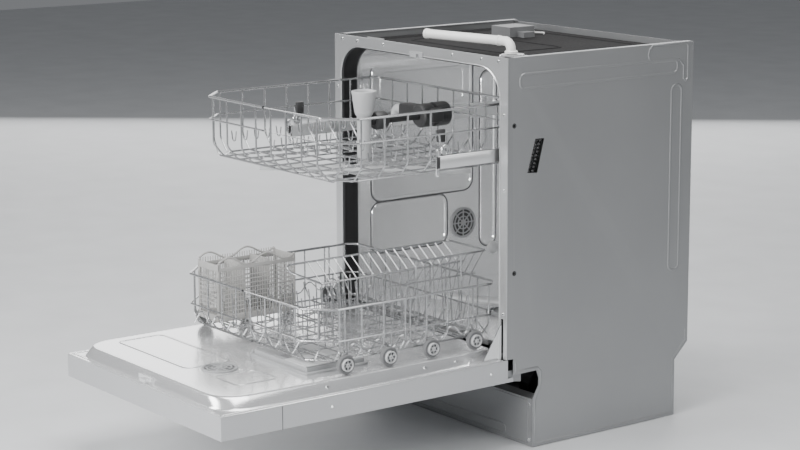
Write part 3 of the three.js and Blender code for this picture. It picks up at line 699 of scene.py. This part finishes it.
def make_pressings():
    """The ridges pressed in the tub's walls, with the dark line that a fold's shade draws around them."""
    pressings = []
    for sign in (-1, 1):
        wall, out = sign * TUB_HALF, (-sign, 0, 0)
        pressings += [
            bead(wall_path(rounded(82, 360, 437, 742, 22), "x", wall), out, 9, 2.8),
            bead(wall_path(rounded(104, 338, 640, 720, 16), "x", wall), out, 7, 2.2),
            bead(wall_path(rounded(80, 286, 319, 425, 20), "x", wall), out, 9, 2.8),
            bead(wall_path(rounded(392, 430, 298, 700, 18.5), "x", wall), out, 9, 2.8)]
        pressings += [bead(wall_path(rounded(50 + 9 * k, 54 + 9 * k, 250, 700, 1.9), "x", wall), out, 3, 0.9)
                      for k in range(3)]
    back = limits("tub_back")[1][0]
    # painted shade: thin dark beads beside the tub's folds, standing in for the shade in each fold's step
    painted_fold_lines = []
    for sign in (-1, 1):
        for y, z, corner in (((76, 366), (431, 748), 28), ((74, 292), (313, 431), 26),
                             ((386, 436), (292, 706), 24.5)):
            outline = wall_path(rounded(*y, *z, corner), "x", sign * TUB_HALF)
            painted_fold_lines.append(bead(outline, (-sign, 0, 0), 3.4, 1.2))
    piece("tub_painted_fold_shade", gathered(painted_fold_lines), "cabinet", FOLD_SHADE)
    pressings += [bead(wall_path(rounded(-210, 210, 300, 560, 24), "y", back), (0, -1, 0), 8, 0.9),
                  bead(wall_path(rounded(-210, 210, 610, 740, 24), "y", back), (0, -1, 0), 8, 0.9)]
    piece("tub_pressings", gathered(pressings), "cabinet", TUB_STEEL)


def vent_rings(middle, out, low, top, chamfer):
    """The rings of a round grille, from the rim to the middle."""
    return [turned([(r, low), (r, top), (r - chamfer, top + 0.6), (r - w, top), (r - w, low)], middle, out,
                   40)
            for r, w in ((36, 5), (26, 2.4), (16, 2.4), (7, 6.9))]


def make_wall_vent():
    middle = centre_of("wall_vent")
    middle.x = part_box("wall_vent")[0].x
    rings = vent_rings(middle, (1, 0, 0), 0.3, 3.4, 1.2)
    rings.append(around(local_bar((6, 33), (-1.2, 1.2), (0.4, 3.0)), 8, middle, FACING_X, GREY_PLASTIC))
    shade = turned([(0, 0.2), (34, 0.2), (34, 1.0), (0, 1.0)], middle, (1, 0, 0), 40)
    piece("vent_shade", shade, "cabinet", BLACK_PLASTIC)
    piece("vent_grille", gathered(rings), "cabinet", GREY_PLASTIC, ("wall_vent",))


def make_tub_fittings():
    knob = turned([(0, 0), (15, 0), (15, 5), (11, 9), (7, 10), (0, 10)], at(-TUB_HALF, 424, 287), (1, 0, 0),
                  28)
    piece("wall_knob", knob, "cabinet", PALE_PLASTIC)
    mesh = turned([(18, 0), (46, 0), (46, 1.5), (44, 3), (40, 2), (20, 0.8)], at(0, 265, 205), (0, 0, 1), 40)
    piece("strainer_rim", mesh, "cabinet", GREY_PLASTIC)


def spray_arm(centre, half, turn, depth):
    """A hollow pressed arm: pointed ends, a crowned top, and a row of nozzles on it."""
    rings = []
    for k in range(25):
        s = -1 + k / 12
        width = 11.5 + 10 * (1 - abs(s)) ** 1.6
        if abs(s) > 0.94:
            width *= math.sqrt(max(0.04, 1 - ((abs(s) - 0.94) / 0.06) ** 2))
        x = s * half
        rings.append([Vector((x, y * width, z * depth)) for y, z in (
            (-1, 0.45), (-0.9, 0.75), (-0.45, 0.96), (0, 1), (0.45, 0.96), (0.9, 0.75), (1, 0.45),
            (0.85, 0.1), (0, 0),
            (-0.85, 0.1))])
    arm = loft([[p * MM for p in ring] for ring in rings])
    parts = [arm, turned([(0, -1.5), (26, -1.5), (30, 1), (30, depth - 3), (24, depth), (0, depth)],
                         (0, 0, 0),
                         (0, 0, 1), 32)]
    for s in (-0.9, -0.72, -0.5, -0.3, 0.3, 0.5, 0.72, 0.9):
        parts.append(turned([(0.8, 0), (3.4, 0), (3.0, 1.2), (0.8, 1.2)],
                            (s * half * MM, 0, (depth - 0.9) * MM),
                            (0, 0, 1), 12))
    whole = gathered(parts)
    whole.transform(Matrix.Translation(centre) @ Matrix.Rotation(math.radians(turn), 4, "Z"))
    return whole


def make_arm(level, half, turn, rise, depth):
    centre = centre_of(f"{level}_spray_arm")
    centre.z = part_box(f"{level}_spray_arm")[0].z + rise * MM
    piece(f"{level}_arm_blade", spray_arm(centre, half, turn, depth), f"{level}_arm", PALE_PLASTIC,
          (f"{level}_spray_arm",))


# ---------------------------------------------------------------- door
def plateau(half, front, back, radius=58):
    """The outline of the liner's raised middle, which narrows by the hinge to pass into the cabinet."""
    wide = rounded(-half, half, front, back, [radius, 6, 6, radius])
    slim = min(half, 269)
    narrow = rounded(-slim, slim, front, back, [radius, 6, 6, radius])
    return wide[:9] + [(half, -90), (slim, -66)] + narrow[9:27] + [(-slim, -66), (-half, -90)] + wide[27:]


def make_liner():
    """The door's inner skin: a flat rim, a raised middle, and shallow creases on it."""
    (end, _), (flange, top) = limits("door_liner")[1:]
    rim = [(rounded(i - 298, 298 - i, end + i, -5 - i, 3), z)
           for i, z in ((0, flange), (0, flange + 1.1), (0.5, flange + 1.5))]
    rim = [(o[:9] + [(298 - i, -90), (298 - i, -66)] + o[9:27] + [(i - 298, -66), (i - 298, -90)] + o[27:], z)
           for i, (o, z) in enumerate(rim)]
    slope = [(plateau(290 - i, end + 13 + i * 0.45, -12 - min(i, 8)), z) for i, z in (
        (0, flange + 1.5), (1.5, flange + 2.2), (4, flange + 6), (9, flange + 12), (16, top - 3.5),
        (19, top - 1.2),
        (22, top - 0.3), (26, top))]
    skin = loft([wall_path(o, "z", z) for o, z in rim + slope])
    piece("liner_skin", skin, "door", LINER_STEEL, ("door_liner",))
    creases = [bead(wall_path(rounded(*x, *y, 15), "z", top), (0, 0, 1), 5, 0.8)
               for x, y in (((-240, 32), (-594, -492)), ((119, 200), (-582, -492)))]
    creases.append(bead(wall_path(rounded(72, 104, -514, -505, 4), "z", top), (0, 0, 1), 3, 0.7))
    piece("liner_creases", gathered(creases), "door", LINER_STEEL)
    # painted shade: thin dark beads around the liner's creases, standing in for the shade in each fold's step
    painted_fold_lines = [bead(wall_path(rounded(*x, *y, 17), "z", top), (0, 0, 1), 1.4, 0.45)
             for x, y in (((-243, 35), (-597, -489)), ((116, 203), (-585, -489)))]
    piece("liner_painted_fold_shade", gathered(painted_fold_lines), "door", FOLD_SHADE)
    edge = wire([(-290, end + 7, flange + 1.6), (290, end + 7, flange + 1.6)], 0.7)
    sides = [wire([(s * 291, end + 7, flange + 1.6), (s * 291, -12, flange + 1.6)], 0.7) for s in (-1, 1)]
    piece("liner_fold", gathered([edge] + sides), "door", LINER_STEEL)


def make_door_edges():
    dress("door_outer_panel", DOOR_PAINT, 0.7)
    dress("control_panel", DOOR_PAINT, 1.0, 3)
    flange = limits("door_liner")[2][0]
    for name, s in (("left", -1), ("right", 1)):
        screws = studs([(s * 280, y, flange + 12) for y in (-430, -193, -115)], (s, 0, 0.8), 3.8, 3,
                       BRIGHT_STEEL)
        piece(f"liner_screws_{name}", screws, "door", BRIGHT_STEEL)
    piece("door_side_screws", studs([(s * 297.8, y, 174) for s in (-1, 1) for y in (-38, -430)], (1, 0, 0), 3,
                                    1.2,
                                    BRIGHT_STEEL), "door", BRIGHT_STEEL)
    (_, side), (_, seam) = limits("control_panel")[:2]
    gap = [bar(sorted((s * side, s * (side + 0.12))), (seam - 0.7, seam + 0.9), (flange - 48, flange - 1.2))
           for s in (-1, 1)]
    piece("panel_seam", gathered(gap), "door", BLACK_PLASTIC)
    dress("door_latch", LINER_STEEL, 2.5, 3)


def make_door_vent():
    middle = centre_of("door_vent_cap")
    middle.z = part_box("door_vent_cap")[0].z
    rings = vent_rings(middle, (0, 0, 1), 0, 2.4, 1)
    rings.append(around(local_bar((5, 32), (-1.2, 1.2), (0, 2.2)), 8, middle, Matrix.Identity(4),
                        GREY_PLASTIC))
    shade = turned([(0, 0), (34, 0), (34, 0.8), (0, 0.8)], middle, (0, 0, 1), 40)
    piece("door_vent_shade", shade, "door", BLACK_PLASTIC)
    piece("door_vent_grille", gathered(rings), "door", GREY_PLASTIC, ("door_vent_cap",))


def make_dispenser():
    dress("dispenser_body", GREY_PLASTIC, 2.5, 3)
    x, y, z = limits("dispenser_body")
    tier = [bar((x[0] - 7, x[1] + 7), (y[0] - 6, y[1] + 6), (z[0] - 1, z[0] + 4.6), 2)]
    tier += [bar((x[0] + 62, x[1] - 6), (y[0] + 6, y[0] + 10), (z[1] - 1, z[1] + 0.8), 0.4)]
    piece("dispenser_tier", gathered(tier), "door", GREY_PLASTIC)
    # painted shade: black bars on the dispenser's top stand for its slots, their black the shade inside each
    # opening
    slot_shades = [bar((x[0] + 72 + 7 * k, x[0] + 75 + 7 * k), (y[0] + 14, y[0] + 34), (z[1] - 1, z[1] + 0.15), 0)
             for k in range(4)]
    piece("dispenser_slot_shades", gathered(slot_shades), "door", BLACK_PLASTIC)
    dress("rinse_aid_cap", GREY_PLASTIC, 0.8)
    x, y, z = limits("dispenser_lid")
    lid = [bar(x, y, z, 1.2)]
    lid += [bar((x[0] + 10, x[1] - 10), (y[0] + 8 + 4 * k, y[0] + 10 + 4 * k), (z[1] - 0.3, z[1] + 0.8), 0.3)
            for k in range(4)]
    piece("dispenser_slide_lid", gathered(lid), "dispenser_lid", PALE_PLASTIC, ("dispenser_lid",))


# ---------------------------------------------------------------- racks
def rack_outline(half, front, back, cut=RACK_CUT, corner=18):
    right = [(half - cut, front), (half, front + cut), (half, back - corner), (half - corner, back)]
    return [(0, front)] + right + [(-x, y) for x, y in reversed(right)]


def reach(y, front, half):
    """How far out a rack's side reaches at y, where its front corners are cut off."""
    return half - max(0, RACK_CUT - (y - front))


def rack_loops(outline, low_outline, rim, mid, low):
    """The rim, the loop half way down and the loop around the floor."""
    return [wire([(x, y, z) for x, y in shape], radius, 10, closed=True)
            for shape, z, radius in ((outline, rim, 2.7), (outline, mid, 2.0), (low_outline, low, 2.0))]


def trough(near, far, rim, knee, floor, near_slope, far_slope):
    """A wire's way down from the rim, over the floor and up again."""
    return [(near, rim), (near, knee), (near + near_slope, floor), (far - far_slope, floor), (far, knee),
            (far, rim)]


def make_lower_rack():
    rim, mid, knee, floor = 351, 287.5, 268, 242
    half, front, back = RACK_HALF, -440, 14
    wires = rack_loops(rack_outline(half, front, back),
                       rack_outline(half - 22, front + 20, back - 18, 46, 12), rim, mid,
                       floor + 1)
    across = trough(-half, half, rim, knee, floor, 22, 22)
    wires.append(wire([(x, front + 58, z) for x, z in across], 1.8, 16, 8, (0, 53, 0)))
    wires.append(wire([(x, front + 70, z) for x, z in across], 1.8, 16, 3, (0, 159, 0)))
    along = trough(front, back, rim, knee, floor, 22, 20)
    wires.append(wire([(-188, y, z) for y, z in along], 1.8, 16, 8, (53.7, 0, 0)))
    for side in (-1, 1):
        edge = reach(front + 26, front, half)
        corner = [(edge, rim), (edge, knee), (edge - 18, floor), (0, floor)]
        wires.append(wire([(side * x, front + 26, z) for x, z in corner], 1.8, 12))
        wave = [(side * (half - 1), front + 64 + 30 * k, 285 if k % 2 else 249) for k in range(13)]
        wires.append(wire(wave, 1.6, 13))
    wires.append(wire([(-190 + 30 * k, front + 1, 285 if k % 2 else 249) for k in range(14)], 1.6, 13))
    for x in (-120, -40, 60):  # wavy stiffeners under the floor
        wires.append(wire([(x, front + 30 + 26 * k, floor - 1 + (5 if k % 2 else 0)) for k in range(16)], 1.5,
                          8))
    tine = [(-118, 0, floor), (-118, 0, 292), (-122, 0, 316)]
    for x in (0, 62, 124, 186):  # rows of tines
        wires.append(wire([(x + a, front + 50, c) for a, _, c in tine], 1.4, 8, 13, (0, 30, 0)))
    for y in AXLES:
        for s in (-1, 1):
            wires.append(wire([(s * 234, y, floor), (s * 234, y, 240.5), (s * 256, y, 240.5)], 3.0, 2))
            wires.append(wire([(s * 255, y - 10, mid), (s * 255, y - 10, 262), (s * 250, y, 250),
                               (s * 255, y + 10, 262),
                               (s * 255, y + 10, mid)], 1.6, 8))
    piece("lower_rack_wires", gathered(wires), "lower_rack", WIRE_COAT, ("lower_rack",))


def make_cup_shelf():
    top, low, front, back = 415, 379, -426, 6
    shelf = [
        wire([(149, back, low), (149, -350, low), (100, front, top), (100, back, top), (229, back, top),
              (229, -176, top)],
             2.2, 12),
        wire([(190, -218, top - 54), (190, back, top - 54)], 1.8, 4),
        wire([(229, -176, top), (229, -176, 380), (190, -176, top - 54)], 1.8, 8),
        wire([(229, -62, top), (229, -62, 346)], 1.8, 0),
        wire([(100, -350, top), (149, -350, low), (160, -350, 250)], 1.25, 8, 17, (0, 21.3, 0)),
        wire([(229, -168, top), (190, -168, top - 54), (160, -168, 250)], 1.25, 8, 9, (0, 20.4, 0))]
    piece("cup_shelf_wires", gathered(shelf), "lower_rack", WIRE_COAT, ("cup_shelf",))


def make_wheel(place, side, s):
    """A lower wheel: a tyre with its web, and inside it a paler ring, spokes and hub."""
    node, body = f"lower_wheel_{place}_{side}", f"wheel_{place}_{side}"
    low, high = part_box(node)
    centre = (low + high) / 2
    centre.x = low.x if s > 0 else high.x
    out = (s, 0, 0)
    profile = [(12.6, 0.6), (18.2, 0.3), (19.4, 1.2), (19.4, 7.2), (18.4, 8.6), (14.4, 9.0), (13.0, 7.0),
               (12.6, 6)]
    tyre = turned(profile, centre, out, 32)
    web = turned([(3.4, 2.4), (13.6, 2.4), (13.6, 6.4), (3.4, 6.4)], centre, out, 24)
    piece(f"wheel_tyre_{place}_{side}", gathered([tyre, web]), body, TYRE, (node,))
    ring = turned([(9.6, 6), (12.6, 6), (12.9, 12.8), (12.0, 14.3), (10.4, 14.3), (9.6, 13)], centre, out, 28)
    hub = turned([(1.2, 5), (4.8, 5), (4.8, 12.6), (3.6, 13.8), (1.2, 13.8)], centre, out, 20)
    spin = Matrix.Rotation(math.radians(90 * s), 4, "Y")
    spokes = around(local_bar((4, 10.2), (-1.2, 1.2), (8, 12.6), 0.3), 6, centre, spin, PALE_PLASTIC)
    piece(f"wheel_ring_{place}_{side}", gathered([ring, hub, spokes]), body, PALE_PLASTIC)


def make_basket():
    (x0, x1), (y0, y1), (z0, z1) = limits("cutlery_basket")
    parts = [bar((x0 + 1, x1 - 1), (y0 + 1, y1 - 1), (z0, z0 + 2.5), 0.6)]
    for x in (x0, x1 - 5):
        for y in (y0, y1 - 5):
            parts.append(bar((x, x + 5), (y, y + 5), (z0, z1 - 14), 1))
    for k in range(1, 3):
        y = y0 + k * (y1 - y0) / 3
        parts.append(bar((x0 + 1, x1 - 1), (y - 1.2, y + 1.2), (z0, z1 - 18), 0.4))
    for x in (x0 + 0.2, x1 - 2.4):
        parts.append(bar((x, x + 2.2), (y0, y1), (z1 - 30, z1 - 22), 0.4))
        parts.append(bar((x, x + 2.2), (y0, y1), (z0 + 2, z0 + 14), 0.4))
        parts += [bar((x, x + 2), (y0, y1), (z0 + 12 + 9 * k, z0 + 13.6 + 9 * k), 0.3) for k in range(1, 10)]
        parts.append(wire([(x + 1, y0 + 2 + k * (y1 - y0 - 4) / 25, z1 - 12 + 9 * math.sin(k * 0.5))
                           for k in range(26)],
                          2.0, 4, material=BASKET_GREY))
        upright = [(x + 1, y0 + 6, z0 + 4), (x + 1, y0 + 6, z1 - 12)]
        parts.append(wire(upright, 0.9, 0, 31, (0, 6.1, 0), material=BASKET_GREY, sides=6))
    for y in (y0 + 0.2, y1 - 2.4):
        parts.append(bar((x0, x1), (y, y + 2.2), (z1 - 30, z1 - 16), 0.4))
        parts.append(bar((x0, x1), (y, y + 2.2), (z0 + 2, z0 + 14), 0.4))
        parts += [bar((x0, x1), (y, y + 2), (z0 + 12 + 9 * k, z0 + 13.6 + 9 * k), 0.3) for k in range(1, 10)]
        parts.append(wire([(x0 + 6, y + 1, z0 + 4), (x0 + 6, y + 1, z1 - 18)], 0.9, 0, 12, (6.1, 0, 0),
                          material=BASKET_GREY, sides=6))
    piece("basket_lattice", gathered(parts), "basket", BASKET_GREY, ("cutlery_basket",))


def make_upper_rack():
    rim, mid, knee, floor = 718, 671, 622, 592
    half, front, back = RACK_HALF, -385, 76
    wires = rack_loops(rack_outline(half, front, back),
                       rack_outline(half - 26, front + 26, back - 26, 40, 12), rim, mid,
                       floor + 1)
    across = trough(-half, half, rim, knee, floor, 26, 26)
    wires.append(wire([(x, front + 58, z) for x, z in across], 1.9, 20, 8, (0, 56, 0)))
    along = trough(front, back, rim, knee, floor, 26, 26)
    wires.append(wire([(-190, y, z) for y, z in along], 1.9, 20, 8, (54.2, 0, 0)))
    for side in (-1, 1):
        edge = reach(front + 26, front, half)
        corner = [(edge, rim), (edge, knee), (edge - 20, floor), (0, floor)]
        wires.append(wire([(side * x, front + 26, z) for x, z in corner], 1.9, 14))
    for x in (-160, -105, 105, 160):  # zigzag wires that carry the cups
        wires.append(wire([(x + (9 if k % 2 else -9), front + 46 + 14 * k, floor + 4) for k in range(26)],
                          1.4, 5))
    for x in (-205, -60, 60, 205):  # rows of split tines
        wires.append(wire([(x - 9, front + 60, floor + 48), (x, front + 60, floor + 1),
                           (x + 9, front + 60, floor + 48)],
                          1.4, 6, 13, (0, 28, 0)))
    for y in (-129, 60):
        for s in (-1, 1):
            wires.append(wire([(s * 255, y - 9, mid), (s * 255, y - 6, 642), (s * 255, y + 6, 642),
                               (s * 255, y + 9, mid)],
                              2.0, 8))
            wires.append(wire([(s * 252, y, 640.5), (s * 258, y, 640.5)], 3.0, 0))
    piece("upper_rack_wires", gathered(wires), "upper_rack", WIRE_COAT, ("upper_rack",))


def make_tower():
    base = centre_of("spray_tower")
    base.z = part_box("spray_tower")[0].z
    shape = [(0, 0), (12.8, 0), (12.8, 14), (14.8, 18), (14.8, 44), (16.4, 45), (16.4, 49), (14.8, 50),
             (14.8, 102),
             (18.4, 106), (20, 111), (23, 133), (25.7, 151), (25.9, 154.4), (24.4, 154.8), (22.2, 151),
             (18, 122),
             (14.5, 113), (0, 108)]
    piece("tower_funnel", turned(shape, base, (0, 0, 1), 36), "upper_rack", PALE_PLASTIC, ("spray_tower",))


def make_feed_pipe():
    dress("upper_feed_pipe", BLACK_PLASTIC, 0.8)
    blocks = [bar((s * 249 - 4, s * 249 + 4), (y - 9, y + 9), (654, 680), 2)
              for s in (-1, 1) for y in (-129, 40)]
    along_pipe = (0, 1, 0)
    blocks += [turned([(8.2, -14), (17, -14), (19, -10), (19, 10), (17, 14), (8.2, 14)], at(0, -98, 666),
                      along_pipe, 28),
               turned([(8.2, 0), (21, 0), (25, 4), (25, 30), (22, 34), (8.2, 34)], at(0, 2, 666), along_pipe,
                      28)]
    blocks.append(bar((-92, 30), (18, 50), (652, 682), 5))
    piece("pipe_couplings", gathered(blocks), "upper_rack", BLACK_PLASTIC)
    elbow = wire([(-88, 34, 668), (-122, 34, 668), (-122, 34, 640)], 10, 14, material=PALE_PLASTIC, sides=20)
    piece("pipe_elbow", elbow, "upper_rack", PALE_PLASTIC)


def make_slide(side, s):
    """One side's two rollers, and the rail that they run in, with its cap and stop."""
    for place in ("front", "back"):
        middle = centre_of(f"upper_roller_{place}_{side}")
        profile = [(3.3, -3.2), (10.2, -3.2), (10.9, -2.2), (10.9, 2.2), (10.2, 3.2), (8, 3.2), (8, 2.0),
                   (5.4, 2.0),
                   (5.4, 3.2), (3.3, 3.2)]
        piece(f"roller_disc_{place}_{side}", turned(profile, middle, (s, 0, 0), 28),
              f"roller_{place}_{side}", BRIGHT_STEEL, (f"upper_roller_{place}_{side}",))
    x, y, z = limits(f"rail_slide_{side}")
    rail = [bar((x[0], x[1] - 0.2), (y[0] + 2, y[1]), (z[0], z[1]), 1.2),
            bar((x[0], x[1] - 0.1), (y[0] + 2, y[1]), (z[1] - 4, z[1]), 1.4),
            studs([((x[1] - 0.6) if s > 0 else (x[0] + 0.6), y[0] + 22, z[0] + 11)], (s, 0, 0), 2.6, 0.7,
                  BRIGHT_STEEL)]
    piece(f"slide_rail_{side}", gathered(rail), f"rail_{side}", FRAME_STEEL, (f"rail_slide_{side}",))
    cap = bar((x[0], x[1]), (y[0], y[0] + 9), (z[0] + 0.2, z[1] - 0.2), 1.5)
    piece(f"rail_cap_{side}", cap, f"rail_{side}", BLACK_PLASTIC)
    stop = [(s * 262, y[0] + 1, 589), (s * 262, y[0] + 1, 641), (s * 262, y[0] + 5, 641),
            (s * 262, y[0] + 5, 589)]
    piece(f"rail_stop_{side}", wire(stop, 1.6, 2, closed=True, material=BRIGHT_STEEL), f"rail_{side}",
          BRIGHT_STEEL)


def lay_floor(half=9, level=-0.0002):
    corners = [(-half, -half, level), (half, -half, level), (half, half, level), (-half, half, level)]
    mesh = mesh_of(corners, [(0, 1, 2, 3)])
    mesh.materials.append(FLOOR_PAINT)
    floor = bpy.data.objects.new("floor", mesh)
    bpy.context.scene.collection.objects.link(floor)


place_camera()
light_studio()
lay_floor()
SIDES = (("left", -1), ("right", 1))
for name, sign in SIDES:
    make_side(name, sign)
make_front_frame()
make_back()
make_plinth()
make_underside()
make_hinges_and_rails()
make_roof()
make_tub()
make_pressings()
make_wall_vent()
make_tub_fittings()
make_arm("lower", 195, 30, 2, 13.6)
make_arm("upper", 221, 46, 4, 13.8)
make_liner()
make_door_edges()
make_door_vent()
make_dispenser()
make_lower_rack()
make_cup_shelf()
for place in ("front", "mid_front", "mid_back", "back"):
    for side, sign in SIDES:
        make_wheel(place, side, sign)
make_basket()
make_upper_rack()
make_tower()
make_feed_pipe()
for side, sign in SIDES:
    make_slide(side, sign)
